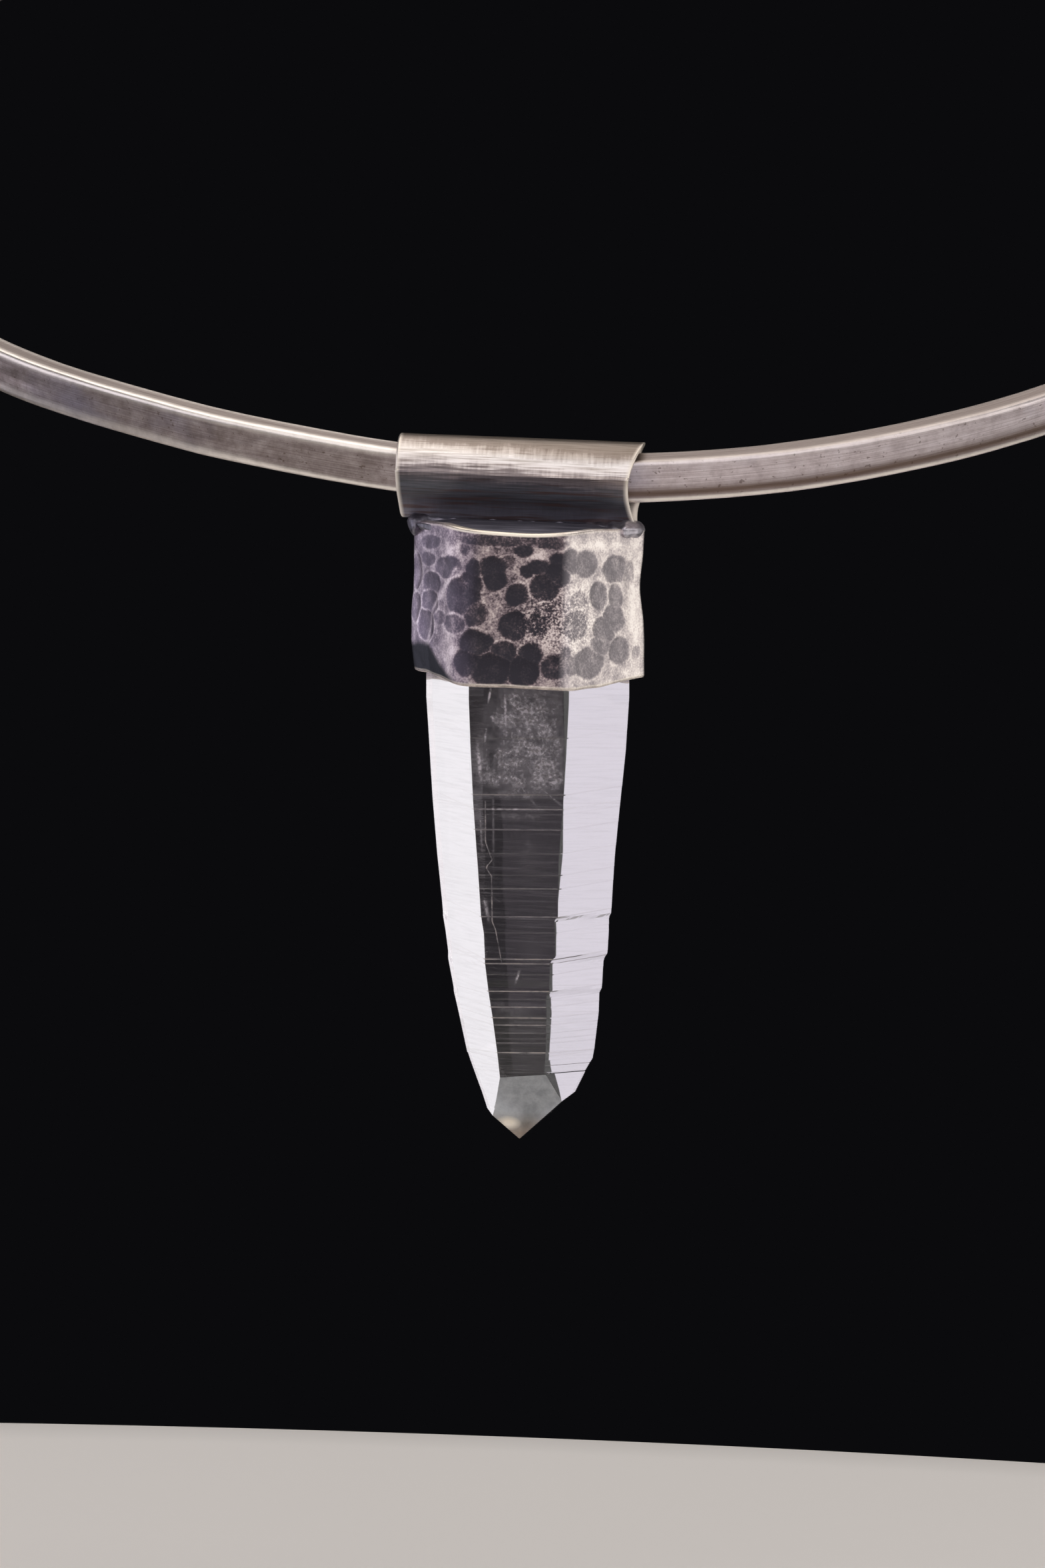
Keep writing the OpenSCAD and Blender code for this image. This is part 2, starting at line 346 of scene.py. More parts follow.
# File lines are 0.12 mm apart and some 8 mm long
drawn_out = node("Mapping", {"Vector": flat, "Scale": (120, 8500, 1)})
file_lines = node("TexNoise", {"Vector": drawn_out, "Scale": 1, "Detail": 5})
mottle = node("TexNoise", {"Vector": place_in, "Scale": 700, "Detail": 7, "Roughness": 0.7})
patches = node("TexNoise", {"Vector": place_in, "Scale": 130, "Detail": 3})
brown = node("ValToRGB", [mottle], stops={0.3: "#867a77", 0.52: "#a39896", 0.72: "#bfb5b3"})
mauve = node("ValToRGB", [mottle], stops={0.3: "#c9bdc0", 0.5: "#e3d8db", 0.7: "#f0e7eb"})
bluish = node("MapRange", [patches, 0.5, 0.68, 0, 0.4])
specks = node("TexNoise", {"Vector": place_in, "Scale": 2600, "Detail": 1})
dots = node("MapRange", [specks, 0.68, 0.74, 0, 0.55])
tarnish = mauve
for amount, over in ((on_left, brown), (bluish, "#9c9cb4"), (dusky, "#7a685f"), (dots, "#5c4a3e"),
                     (pale, "#9b918c")):
    tarnish = node("MixRGB", [amount, tarnish, over])
lines = node("ValToRGB", [file_lines], stops={0.35: "#bdb4b2", 0.62: "#ffffff"})
lined = node("MixRGB", [0.55, tarnish, lines], blend_type="MULTIPLY")
uneven = node("Math", [mottle, 0.5], operation="ADD")
bare = node("Math", [rubbed_and_highlit, uneven], operation="MULTIPLY")
# The near-white on the edges is partly wear and partly painted highlight and painted reflection
worn_and_highlit = node("MixRGB", [bare, lined, "#fbf4ec"])
polish = node("MapRange", [bare, 0, 1, 0.42, 0.34])
filed = node("Bump", {"Height": file_lines, "Strength": 0.35, "Distance": 0.03 * MM})
pitted = node("Bump", {"Height": mottle, "Normal": filed, "Strength": 0.4, "Distance": 0.05 * MM})
feed(shader, {"Base Color": worn_and_highlit, "Metallic": 1, "Roughness": polish, "Normal": pitted})

ring_wire = place("ring_wire", ring_mesh, worn_silver)
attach(ring_wire, "ring")
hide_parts("neck_ring")

# The bail. A strip of silver sheet is bent round the wire into a tube and pinched together below. It was
# darkened with liver of sulphur, and its top was brushed bright again. Its colour also carries a painted
# reflection of the lights.
BAIL_LEN = 20.9 * MM
BORE_R = 2.55 * MM
BAIL_WALL = 0.6 * MM
# The straight walls of the pinch, outside and inside: distance from the bore's axis, turn, apex's depth
OUTER_PINCH = (2.977 * MM, math.radians(-37.4), 4.25 * MM)
INNER_PINCH = (2.383 * MM, math.radians(-41.5), 3.6 * MM)
LIP = 0.2 * MM
OUT_STEPS, BACK_STEPS = 150, 30
# Both ends are sawn a little hollow: how far each stands out, as a polynomial of the height in millimetres
RIGHT_CUT, LEFT_CUT = [0.072, 0.161, -0.65], [0.017, -0.031, -0.43]


def pinched(angle, radius, wall_line, wall_turn, apex):
    """Distance from the bore's axis to a tube pinched below: the circle, or the straight wall that leaves
    it on each side where that is further out, cut off at the depth of the apex."""
    side = np.where(np.cos(angle) >= 0, angle, math.pi - angle)
    straight = np.where(np.sin(angle) < 0, wall_line / np.clip(np.cos(side - wall_turn), 0.2, 1), 0)
    straight = np.minimum(straight, apex / np.clip(-np.sin(angle), 0.05, 1))
    return radius * (1 + (straight / radius) ** 30) ** (1 / 30)


angle = np.linspace(-math.pi / 2, 1.5 * math.pi, 193)[:-1]
outer = pinched(angle, BORE_R + BAIL_WALL, *OUTER_PINCH)
inner = pinched(angle, BORE_R, *INNER_PINCH)
# Once round the wall's section: out along the outside, over one lip, back along the bore, over the other
lip = np.radians(np.linspace(90, -90, 9))[1:-1]
there, back, flat = np.linspace(0, 1, OUT_STEPS), np.linspace(1, 0, BACK_STEPS), np.ones(len(lip))
wall_side, run, bulge = np.concatenate([
    (there ** 0, there, 1 - 2 * there), (np.sin(lip), flat, np.cos(lip) - 1),
    (-back ** 0, back, 1 - 2 * back), (-np.sin(lip), 0 * flat, 1 - np.cos(lip))], 1)[..., None]
radius = (outer + inner) / 2 + wall_side * (outer - inner) / 2
beat = 0.03 * MM * cloud(run * 9, angle * 3 / math.pi + 9, 64, 3)
radius = radius + np.where(wall_side > 0.5, np.minimum(beat, 0), 0)
y, z = radius * np.cos(angle), radius * np.sin(angle)
# The right end stands further out at the back
right_end = BAIL_LEN / 2 + np.polyval(RIGHT_CUT, z / MM) * MM
right_end = right_end + 0.35 * np.clip(y, 0, None) * np.clip(-z / MM, 0, 1)
left_end = -BAIL_LEN / 2 + np.polyval(LEFT_CUT, z / MM) * MM
x = left_end + (right_end - left_end) * run + LIP * bulge
# The lips are rubbed bright and carry a painted cream highlight, up to 0.4 mm from their edge
lip_wear_and_highlight = np.clip(1.2 - np.minimum(x - left_end, right_end - x) / (0.35 * MM), 0, 1)
bail_mesh = grid_mesh("bail", xyz(x, y, z) + bore_middle, round_rows=True, round_columns=True,
                      fields={"lip": lip_wear_and_highlight})

# Brushed silver over black oxide. The brush leaves lines, and where it stopped the oxide's edge is ragged.
brushed_silver, node, shader, centred = new_material("brushed silver over dark oxide", bore_middle)
lip_wear_and_highlight_of = node("Attribute", out="Fac", attribute_name="lip")
# Brush lines are 0.15 mm apart along the tube, and 0.25 mm wide jags stand across it
drawn_out = node("Mapping", {"Vector": centred, "Scale": (260, 6500, 6500)})
strokes = node("TexNoise", {"Vector": drawn_out, "Scale": 1, "Detail": 4})
upright = node("Mapping", {"Vector": centred, "Scale": (4000, 500, 500)})
jags = node("TexNoise", {"Vector": upright, "Scale": 1, "Detail": 3})
blots = node("TexNoise", {"Vector": centred, "Scale": 380, "Detail": 4})
across_at, up_at = (node("SeparateXYZ", [centred], axis) for axis in "XZ")
slope = node("Math", [across_at, 0.042, up_at], operation="MULTIPLY_ADD")
jagged = node("MapRange", [jags, 0.25, 0.75, -0.16 * MM, 0.16 * MM])
blotted = node("MapRange", [blots, 0.3, 0.7, -0.22 * MM, 0.22 * MM])
grooved = node("MapRange", [strokes, 0.3, 0.7, -0.35 * MM, 0.35 * MM])
height = slope
for more in (jagged, blotted, grooved):
    height = node("Math", [height, more], operation="ADD")
level = node("MapRange", [height, -4.5 * MM, 3.2 * MM])
# The ramp over height paints light: a cream highlight band just above the oxide's edge, a duller olive-grey
# reflection above it, and a pale blue-grey sheen at the very bottom, over the real dark oxide between
tone = node("ValToRGB", [level], stops={0: "#7a7884", 0.13: "#605e6a", 0.26: "#46454c",
                                        0.38: "#4d4f57", 0.46: "#59565d", 0.53: "#7f7679",
                                        0.6: "#9c9291", 0.645: "#d3cac7", 0.7: "#f3ece8",
                                        0.78: "#f8f3ef", 0.83: "#d0c7c1", 0.88: "#968b83",
                                        0.95: "#8b8178"})
bare = node("MapRange", [level, 0.5, 0.6, 0.25])
lines = node("ValToRGB", [strokes], stops={0.34: "#a39a8e", 0.6: "#ffffff"})
lined = node("MixRGB", [0.6, tone, lines], blend_type="MULTIPLY")
rust = node("Mapping", {"Vector": centred, "Scale": (160, 2200, 2200)})
streaks = node("TexNoise", {"Vector": rust, "Scale": 1, "Detail": 3})
reddish = node("MapRange", [streaks, 0.52, 0.64, 0, 0.75])
lower = node("MapRange", [level, 0.52, 0.4])
reddish = node("Math", [reddish, lower], operation="MULTIPLY")
tinted = node("MixRGB", [reddish, lined, "#4b3632"])
# Painted highlight on the lips, over their wear
edged = node("MixRGB", [lip_wear_and_highlight_of, tinted, "#f1e8dc"])
dent = node("Bump", {"Height": strokes, "Strength": 0.45, "Distance": 0.04 * MM})
feed(shader, {"Base Color": edged, "Metallic": bare, "Roughness": 0.36, "Normal": dent})

bail = place("bail", bail_mesh, brushed_silver)
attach(bail, "pendant")
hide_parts("cap_and_bail")

# The cap. A band of silver sheet is wrapped round the root of the stone, hammered against its faces, and
# closed with a low roof. The hammer leaves shallow round dimples with soft ridges between them.
FRONT_W, LEFT_W, RIGHT_W = 8.4 * MM, 9.7 * MM, 9.6 * MM
STONE_TURN, STONE_LEAN = math.radians(-3), math.radians(-2.1)
STONE_SHIFT = 0.63 * MM
CAP_OUT, CAP_WALL = 1.3 * MM, 1.1 * MM
COLUMNS, ROWS = 560, 124
FACE_TURN = np.radians([-90, -30, 30, 90, 150, 210])
FACE_OUT = np.stack([np.cos(FACE_TURN), np.sin(FACE_TURN)], -1)
HAMMER_R_MM = 6
# The hem: place across the cap and depth, in millimetres
HEM = [(-14, 17.0), (-9.2, 17.9), (-4.5, 18.6), (5.1, 18.6), (11.3, 17.55), (14, 16.9)]


def as_stone(points):
    """Turns points about the stone's length, leans them to the right, and puts them under the bore."""
    upright = turned(points, STONE_TURN, 0, 1)
    return turned(upright, STONE_LEAN, 2, 0) + [STONE_SHIFT, 0, 0] + bore_middle


def face_distances(front, left, right):
    """Distances of the six faces from the middle of a hexagon whose sides have these lengths: half of the
    sum of the two neighbouring sides times the sine of 60 degrees. The first face is the front one."""
    side = math.sin(math.radians(60)) / 2
    return np.stack([(right + left) * side, (front + left) * side, (front + right) * side] * 2, -1)


def hexagon_corners(distances):
    """Corners of a hexagon from its faces' distances: each is where a face meets the one before it."""
    before, out_before = np.roll(distances, 1, -1), np.roll(FACE_OUT, 1, 0)
    mine = distances[..., None] * (FACE_OUT - 0.5 * out_before)
    return (mine + before[..., None] * (out_before - 0.5 * FACE_OUT)) / 0.75


band_faces = face_distances(FRONT_W, LEFT_W, RIGHT_W) + CAP_OUT
sharp = hexagon_corners(band_faces)
side_len = np.linalg.norm(np.roll(sharp, -1, 0) - sharp, axis=1)
side_start = np.concatenate([[0], np.cumsum(side_len)[:-1]])
girth = side_len.sum()
around = np.arange(COLUMNS) / COLUMNS * girth
side = np.searchsorted(side_start, around, side="right") - 1
along_side = around - side_start[side]
side_way = (np.roll(sharp, -1, 0) - sharp) / side_len[:, None]
straight = sharp[side] + side_way[side] * along_side[:, None]
ray = straight / np.linalg.norm(straight, axis=1)[:, None]
from_front = (around - side_len[0] / 2 + girth / 2) % girth / MM - girth / MM / 2


def bent_outline(power):
    """Points and outward normals of the band's outline: along each ray, the soft least of the distances
    to the six faces, which is their sum to the power -p, rooted. A low power bends the corners wide. The
    corner at the left of the front is bent widest, the corner at the far right stays sharp."""
    soft = 7 + (power - 14) / 6
    power = power + (soft - power) * np.exp(-((from_front + 5) / 3.5) ** 2)
    power = (power + (44 - power) * np.exp(-((from_front - 16) / 3) ** 2))[:, None]
    facing = np.clip(ray @ FACE_OUT.T, 0, None) / band_faces
    reach = (facing ** power).sum(-1) ** (-1 / power[:, 0])
    normal = facing ** (power - 1) / band_faces @ FACE_OUT
    return ray * reach[:, None], normal / np.linalg.norm(normal, axis=-1)[:, None]


def round_band(waves, v, seed):
    """Noise that goes round the band in this many waves and changes with v."""
    return cloud(around / girth * waves, v, waves, seed)


def on_band(on):
    """Distance along the band from this place on it, the short way round."""
    return (u - on + once_round / 2) % once_round - once_round / 2


def beside(grid):
    """Sum of the four neighbours of each point of a grid."""
    return sum(np.roll(grid, k, axis) for axis in (0, 1) for k in (-1, 1))


def soft_spot(x, s, across, down, wide, high, slant=0):
    """1 in the middle of an oval spot, e to the minus one on its edge, slanted if it has a slant."""
    return np.exp(-((x - across + slant * (s - down)) / wide) ** 2 - ((s - down) / high) ** 2)


def spots(x, s, places):
    """Sum of soft spots, each times its last number."""
    return sum(strength * soft_spot(x, s, *place_of) for *place_of, strength in places)


# Hammer marks: distance along the band from the middle of the front, depth, half width and half height in
# millimetres, and how dark the oxide in them is, which on the side faces is partly lowered as a painted
# reflection. The far half of the band repeats them.
MARKS = [
    (-2, 7.8, 1.2, 1, 1), (-1.7, 8.9, 0.9, 1.1, 1), (-3.7, 8.1, 0.9, 1, 0.95), (-4.1, 9.4, 1.3, 1.2, 0.9),
    (-5.4, 10.5, 2.4, 1.6, 0.9), (-3.6, 12, 1.3, 1.2, 0.75), (-6.5, 13, 1.9, 0.9, 0.6),
    (-3.6, 14.8, 1.7, 1.3, 1), (-4.4, 16.4, 1.7, 1.4, 0.95), (-1, 15.5, 1.2, 1, 1),
    (-2.2, 17.1, 2, 1.5, 1), (1.4, 15.8, 1, 1, 1), (0.7, 17.2, 1.5, 1.4, 1), (0.2, 10.3, 1, 1, 1),
    (-0.1, 13.1, 1.3, 1.3, 1), (1.1, 8.2, 0.6, 0.6, 0.95), (2.2, 7.8, 0.9, 0.6, 0.95),
    (2.7, 9.6, 1.3, 1.2, 1), (3.8, 8.5, 1.1, 1.2, 1), (4.1, 7.2, 0.9, 0.7, 1), (5.3, 7.3, 1.3, 1.1, 1),
    (7.1, 7.5, 1.7, 1.2, 0.95), (-0.6, 7.4, 0.7, 0.7, 0.55), (2.1, 12.9, 1.1, 1.1, 0.75),
    (2.5, 11.6, 1.1, 0.7, 0.5), (3.5, 16.9, 1.2, 1.1, 0.85), (4.5, 16, 0.6, 1, 0.85),
    (-0.9, 5.3, 4.9, 0.6, 0.7), (0.8, 6.3, 0.9, 0.5, 0.9), (3.2, 5.7, 1.8, 0.45, 0.62),
    (-4.9, 6.2, 0.8, 0.6, 0.6), (-7.7, 7.9, 2.5, 1, 0.8), (-11.8, 7.2, 1.6, 0.65, 0.75),
    (-11.1, 9.5, 2.1, 1.15, 0.8), (-11.5, 11.2, 1.9, 1.3, 0.75), (-12.4, 13.3, 1.8, 1.5, 0.75),
    (-9, 12.6, 1.5, 0.65, 0.6), (-10.7, 14.7, 1.3, 0.6, 0.45), (-14.8, 8.5, 1.2, 1.6, 0.6),
    (-14.8, 11.8, 1.2, 1.4, 0.6), (-11.4, 5.7, 2.2, 0.6, 0.75), (11.6, 8.2, 2, 1.3, 0.85),
    (13.7, 8.7, 0.9, 1.2, 0.55), (9.1, 10.5, 1.25, 1.3, 0.9), (11.6, 10.8, 1.1, 1.4, 0.8),
    (11.3, 12.6, 1.7, 1.3, 0.85), (9.9, 13.6, 1.6, 1.3, 0.85), (9.4, 15, 1.5, 1, 0.85),
    (12.1, 15.5, 1.5, 1.3, 0.85), (7.5, 16.6, 2.2, 1.4, 0.9), (5.9, 13.1, 1.6, 1.4, 0.78),
    (6.2, 10.9, 1.2, 0.8, 0.65), (14.5, 15.9, 0.6, 0.7, 0.5), (5.3, 16.8, 1.1, 0.9, 0.85),
    (6.3, 14.7, 0.9, 0.6, 0.4), (12.9, 16.9, 0.9, 0.6, 0.4),
]
# Where the brush left the metal barest: distance along the band, depth, half width, half height
BARE = [
    (-7.2, 15.2, 1.8, 2.6), (-6.9, 6.6, 1.8, 0.8), (-7.2, 10.6, 0.7, 1.6), (14.6, 11, 1.4, 7),
    (1.9, 6.8, 1.6, 0.6), (6.6, 9.6, 1.4, 0.9), (2.9, 14.4, 1.2, 1.6), (9, 6, 4.5, 0.6),
    (5.8, 14.4, 1.6, 2),
]
# Where the oxide breaks up into specks, and where the sides are hollow: as above, and how much
SPECKLED = [(2.6, 12.8, 2.45, 2.45, 1), (6.3, 12.5, 2.65, 2.65, 0.8)]
HOLLOWS = [(15.5, 9.8, 3, 2.6, 0.4), (-15.5, 8.7, 3, 2.4, 0.22)]
# How much larger the marks are than listed, where their oxide ends and over what share of them it fades
MARK_SCALE, OXIDE_END, OXIDE_FADE = 1.07, 1.36, 0.6
# The bright line of the long ridge that runs down and away on the left, painted only: bare metal and
# painted highlight
LONG_RIDGE = [(-6.1, 8.1), (-9.0, 10.5), (-10.7, 11.6), (-11.5, 12.9), (-12.2, 14.9)]
# The fold: depth of its crease, as a polynomial of the place on the left side, and the slope under it
CREASE, FOLD_SLOPE = [-0.03, 0.62, 15.8], math.tan(math.radians(7))
# The rim's depth in the middle, and its rise to the sides by the square of the distance across
RIM_DEPTH, RIM_RISE = 4.95, 0.0105
part = np.linspace(0, 1, ROWS)[:, None]
bent = [bent_outline(power) for power in 14 + 30 * np.clip(part[:, 0] / 0.6, 0, 1)]
wall_out, wall_normal = (np.stack(each) for each in zip(*bent))
lean_up = wall_out[..., 0] * math.sin(-STONE_LEAN)
rim_drop = RIM_DEPTH - np.minimum(RIM_RISE * (wall_out[0, :, 0] / MM) ** 2, 0.5)
rim_drop = rim_drop + 0.04 * round_band(19, 0, 5)
hem_drop = eased(wall_out[-1, :, 0] / MM, HEM) + 0.06 * round_band(31, 0, 6)
top, bottom = rim_drop * MM + lean_up[0], hem_drop * MM + lean_up[-1]
depth = top + (bottom - top) * part

# Dimples: bowls of the hammer's radius, with edges that waver a little
u = from_front + 0.15 * round_band(57, depth / (1.1 * MM), 7)
v = depth / MM + 0.15 * round_band(57, depth / (1.1 * MM) + 20, 8)
once_round = girth / MM
bowl, oxide, barest = (np.zeros(depth.shape) for _ in range(3))
for half_turn in (0, once_round / 2):
    for on, down, wide, high, dark in MARKS:
        q = np.hypot(on_band(on + half_turn) / wide, (v - down) / high) / MARK_SCALE
        bowl = np.maximum(bowl, np.clip(1 - q * q, 0, 1) * min(wide, high) ** 2 / (2 * HAMMER_R_MM))
        t = np.clip((OXIDE_END - q) / OXIDE_FADE, 0, 1)
        oxide = np.maximum(oxide, t * t * (3 - 2 * t) * dark)
    for on, *place_of in BARE:
        barest = np.maximum(barest, soft_spot(on_band(on + half_turn), v, 0, *place_of))
# The dimples meet in ridges, where their bowls bend sharply
ridge = np.clip((beside(bowl) - 4 * bowl) * 40, 0, 1)
ridge = (ridge + beside(ridge)) / 3.4
for (from_u, from_v), (to_u, to_v) in zip(LONG_RIDGE, LONG_RIDGE[1:]):
    run_u, run_v = to_u - from_u, to_v - from_v
    t = np.clip(((u - from_u) * run_u + (v - from_v) * run_v) / (run_u ** 2 + run_v ** 2), 0, 1)
    off = np.hypot(0.6 * (u - from_u - t * run_u), v - from_v - t * run_v)
    ridge = np.maximum(ridge, np.exp(-(off / 0.28) ** 2))
# Metal between the dimples is grey. It is bright where the brush left it barest, and most on the ridges,
# which are partly rubbed bare and partly a painted highlight, stronger on the left
leftward = np.clip((-from_front - 5) / 2, 0, 1)
oxide = np.maximum(oxide, 0.42 - 0.34 * barest) - (0.3 + 0.3 * leftward) * np.clip(ridge, 0, 1)
oxide = np.clip(oxide, 0, 1)
# The lower left corner is folded in under a crease that climbs to the left
off_fold = np.where(side == 4, -side_len[5] / 2, 9 * MM)
fold_at = np.where(side == 5, along_side - side_len[5] / 2, off_fold) / MM
crease = np.polyval(CREASE, np.maximum(fold_at, -1.6)) + 0.1 * round_band(43, 0, 10)
fading = np.where(side == 4, np.clip(1 - (side_len[4] - along_side) / (3 * MM), 0, 1), 1)
beyond = np.clip((depth / MM - crease) * 0.84, 0, None) * fading
ripple = 0.03 * round_band(41, depth / (1.5 * MM), 9)
sink = (bowl + ripple + spots(from_front, v, HOLLOWS) + beyond * FOLD_SLOPE) * MM
front_wall = wall_out - wall_normal * np.clip(sink, 0, 0.75 * CAP_WALL)[..., None]
EDGE = 0.25 * MM
corner = np.radians(np.linspace(0, 90, 6))[1:]


def rounded_rows(outside, normal, level, down):
    """The rows that carry the wall over its edge: a quarter circle, a flat stretch and another quarter
    circle. Down is 1 for the hem and -1 for the rim."""
    inset = np.concatenate([EDGE * (1 - np.cos(corner)), CAP_WALL * np.array([0.4, 0.6]),
                            CAP_WALL - EDGE * (1 - np.cos(corner[::-1]))])[:, None, None]
    lower = EDGE * np.concatenate([np.sin(corner), [1, 1], np.sin(corner[::-1])])[:, None]
    return outside - normal * inset, level + down * (lower - EDGE)


INSIDE_ROWS = [-1, -30, -60, -90, 0]
inside = (wall_out - wall_normal * CAP_WALL)[INSIDE_ROWS]
inside_depth = depth[INSIDE_ROWS] + np.array([-1, 0, 0, 0, 1])[:, None] * EDGE
hem, hem_depth = rounded_rows(front_wall[-1], wall_normal[-1], depth[-1], 1)
rim, rim_depth = rounded_rows(front_wall[0], wall_normal[0], depth[0], -1)
squeeze = EDGE * np.linspace(1, -1, ROWS)[:, None]
plan = np.concatenate([front_wall, hem, inside, rim[::-1]])
levels = np.concatenate([depth + squeeze, hem_depth, inside_depth, rim_depth[::-1]])
cap_points = np.concatenate([plan, -levels[..., None]], -1)


def over_wall(field, at_hem=0.0, at_rim=0.0):
    """A field of the outer wall carried on over the hem, the inside and the rim."""
    rest = np.zeros((len(hem) + len(inside) + len(rim), COLUMNS))
    rest[:len(hem)] = at_hem
    rest[-len(rim):] = at_rim
    return np.concatenate([field, rest])


# Painted cream highlight on the rim, brightest at the front, and a weaker one on the hem
edge_highlight = np.zeros(depth.shape)
rim_highlight = np.clip(0.25 + np.exp(-((from_front + 1.5) / 6) ** 4), 0, 1)
edge_highlight[0], edge_highlight[-1] = rim_highlight, 0.5
cap_fields = {"oxide": over_wall(oxide, 0.25, 0.1), "folded": over_wall(np.clip(beyond / 0.5, 0, 1)),
              "speckled": over_wall(np.clip(spots(from_front, v, SPECKLED), 0, 1)),
              "edge_highlight": over_wall(edge_highlight, 0.35, rim_highlight)}
cap_mesh = grid_mesh("hammered_cap", as_stone(cap_points), round_rows=True, round_columns=True, flip=True,
                     fields=cap_fields)

# Hammered silver, darkened with liver of sulphur and rubbed back. The black oxide stays in the dimples,
# with a speckled edge, and the ridges between them are bare: lavender to the left, cream to the right. The
# side faces are painted paler than the front, a painted reflection of the side boxes.
hammered_silver, node, shader, centred = new_material("hammered silver with oxide in the dimples",
                                                      bore_middle)
oxide_of, fold_painted_shade, speckle_of, edge_highlight_of = (
    node("Attribute", out="Fac", attribute_name=name) for name in ("oxide", "folded", "speckled", "edge_highlight"))
# Specks are 0.15 mm wide, blots 1 mm
specks = node("TexNoise", {"Vector": centred, "Scale": 5200, "Detail": 3, "Roughness": 0.6})
blots = node("TexNoise", {"Vector": centred, "Scale": 900, "Detail": 4})
spread = node("MapRange", [speckle_of, 0, 1, 1.1, 3.2])
speck = node("Math", [specks, 0.5], operation="SUBTRACT")
speck = node("Math", [speck, spread, oxide_of], operation="MULTIPLY_ADD")
blot = node("MapRange", [blots, 0.3, 0.7, -0.22, 0.22])
cover = node("Math", [speck, blot], operation="ADD")
across_at = node("SeparateXYZ", [centred], "X")
# The side faces' ramps are paler than the front's, oxide and all: a painted reflection of the side boxes
front_tone = node("ValToRGB", [cover], stops={0: "#d6c9c5", 0.18: "#b0a29f", 0.4: "#84777a",
                                              0.58: "#584e52", 0.75: "#403c41", 1: "#353339"})
left_tone_with_painted_reflection = node("ValToRGB", [cover], stops={0: "#fbf1fa", 0.2: "#dacedb", 0.5: "#a89cac",
                                             0.75: "#8a8092", 1: "#797080"})
right_tone_with_painted_reflection = node("ValToRGB", [cover], stops={0: "#fbf4ef", 0.2: "#e6ddd9", 0.45: "#c2b9b9",
                                              0.7: "#9b9497", 1: "#7c777b"})
to_front = node("MapRange", [across_at, -9.5 * MM, -2.5 * MM])
to_right = node("MapRange", [across_at, 4.6 * MM, 5.4 * MM])
silver = left_tone_with_painted_reflection
# The folded corner is painted blue-black: painted shade
for amount, over in ((to_front, front_tone), (to_right, right_tone_with_painted_reflection), (fold_painted_shade, "#30323b"),
                     (edge_highlight_of, "#efe6d6")):
    silver = node("MixRGB", [amount, silver, over])
grain = node("Bump", {"Height": specks, "Strength": 0.35, "Distance": 0.04 * MM})
lumps = node("Bump", {"Height": blots, "Normal": grain, "Strength": 0.5, "Distance": 0.08 * MM})
feed(shader, {"Base Color": silver, "Metallic": 1, "Roughness": 0.4, "Normal": lumps})

cap = place("hammered_cap", cap_mesh, hammered_silver)
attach(cap, "pendant")
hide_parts("cap_and_bail")

# The roof. A low lid of the same sheet, let in just below the band's rim and soldered, rises to a ridge
# that carries the bail. It keeps its oxide, because the brush doesn't reach it.
RIDGE_HALF = 1.1 * MM
RIDGE_LINE = np.array([(-9.4, -4.7), (-5.5, -4.2), (6.5, -4.2), (10.2, -4.7)]) * MM
ROOF_INSET, ROOF_BELOW, ROOF_WALL = 0.5 * MM, 0.25 * MM, 1.0 * MM
roof_edge = ray[::8] * (np.linalg.norm(wall_out[0, ::8], axis=1) - ROOF_INSET)[:, None]
rim_low = -top[::8] - ROOF_BELOW
form = bmesh.new()
for low in (ROOF_WALL, 0):
    for point in as_stone(np.concatenate([roof_edge, (rim_low - low)[:, None]], 1)):
        form.verts.new(point)
for x, z in RIDGE_LINE:
    for y in (-RIDGE_HALF, RIDGE_HALF):
        form.verts.new(bore_middle + (x, y, z))
hull = bmesh.ops.convex_hull(form, input=form.verts)
unused = {v for v in hull["geom_interior"] + hull["geom_unused"] if isinstance(v, bmesh.types.BMVert)}
bmesh.ops.delete(form, geom=list(unused), context="VERTS")
bmesh.ops.recalc_face_normals(form, faces=form.faces)
roof_mesh = bpy.data.meshes.new("cap_roof")
form.to_mesh(roof_mesh)
form.free()

# Sheet silver with its oxide left on: a dull blue-grey, smeared along the ridge.
dark_silver, node, shader, place_in = new_material("oxidised silver sheet")
drawn_out = node("Mapping", {"Vector": place_in, "Scale": (250, 2500, 2500)})
smears = node("TexNoise", {"Vector": drawn_out, "Scale": 1, "Detail": 4})
tone = node("ValToRGB", [smears], stops={0.35: "#44444f", 0.65: "#7d7b87"})
feed(shader, {"Base Color": tone, "Metallic": 0.5, "Roughness": 0.45})

roof = place("cap_roof", roof_mesh, dark_silver)
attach(roof, "pendant")
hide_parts("cap_and_bail")

# The solder. It ran along the pinched edge between the bail and the roof, and set in a lump at both ends.
SOLDER_FROM, SOLDER_LEN = -9.9, 21.1
x = SOLDER_FROM + np.linspace(0, 1, 150) * SOLDER_LEN
right_lump, left_lump = np.exp(-((x - 9.5) / 2.2) ** 2), np.exp(-((x + 9.1) / 0.95) ** 2)
thick = 0.5 + 0.06 * np.sin(x * 2.1) + 0.05 * np.sin(x * 5.3 + 1) + 0.4 * right_lump + 0.6 * left_lump
ends = np.sqrt(np.clip(1 - np.clip((np.abs(x - 0.65) - 9.7) / 0.85, 0, 1) ** 2, 0, 1))
turn = np.linspace(0, 2 * math.pi, 41)[:-1]
reach = (thick * ends)[:, None] * (1 + 0.06 * cloud(x[:, None] / 0.8, turn * 10 / math.pi, 64, 11))
fall = -(4.45 + 0.25 * right_lump + 0.35 * left_lump)[:, None]
stretch = (1.15 + 0.7 * left_lump + 2.6 * right_lump)[:, None]
solder_points = xyz(x[:, None], reach * stretch * np.cos(turn), fall + reach * np.sin(turn)) * MM
